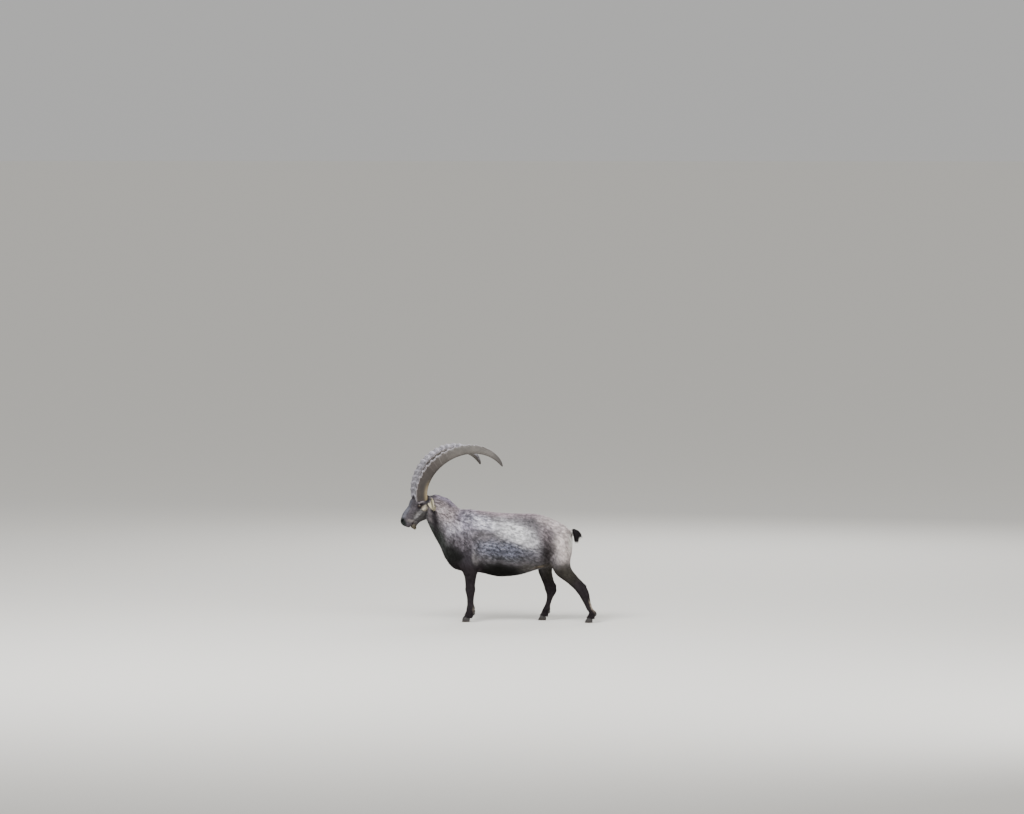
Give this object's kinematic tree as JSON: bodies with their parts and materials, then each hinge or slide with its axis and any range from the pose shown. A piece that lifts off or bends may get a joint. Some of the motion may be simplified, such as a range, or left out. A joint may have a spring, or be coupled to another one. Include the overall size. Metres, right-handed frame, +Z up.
{
  "type": "alpine ibex",
  "caption": "Adult male alpine ibex, life size, standing with one hind leg stretched back and its head turned slightly to its left.",
  "frame": {"origin": "on the floor, under the centre of the whole figure's bounding box", "axes": "+Z up from the floor; the animal faces -X, so its long axis is X; its left side, which the picture shows, is -Y"},
  "size_m": [1.5674, 0.6348, 1.4212],
  "materials": {
    "coat_trunk": "short mottled grey-brown summer coat",
    "coat_dark": "short blackish-brown coat",
    "coat_face": "very short grey-brown coat",
    "ear_coat": "short pale hair inside, grey-brown outside",
    "horn": "dry weathered horn sheath, knobbed in front",
    "hoof": "dark dull horn",
    "eye": "wet, amber-brown"
  },
  "bodies": {
    "root": {"torso": "coat_trunk", "neck": "coat_trunk", "leg_fore_left": "coat_dark", "leg_fore_right": "coat_dark", "leg_hind_left": "coat_dark", "leg_hind_right": "coat_dark", "tail": "coat_dark", "head": "coat_face", "lower_jaw": "coat_face", "ear_left": "ear_coat", "ear_right": "ear_coat", "horn_left": "horn", "horn_right": "horn", "claw_fore_left_inner": "hoof", "claw_fore_left_outer": "hoof", "claw_fore_right_inner": "hoof", "claw_fore_right_outer": "hoof", "claw_hind_left_inner": "hoof", "claw_hind_left_outer": "hoof", "claw_hind_right_inner": "hoof", "claw_hind_right_outer": "hoof", "dewclaw_fore_left_inner": "hoof", "dewclaw_fore_left_outer": "hoof", "dewclaw_fore_right_inner": "hoof", "dewclaw_fore_right_outer": "hoof", "dewclaw_hind_left_inner": "hoof", "dewclaw_hind_left_outer": "hoof", "dewclaw_hind_right_inner": "hoof", "dewclaw_hind_right_outer": "hoof", "eye_left": "eye", "eye_right": "eye"}
  },
  "joints": []
}
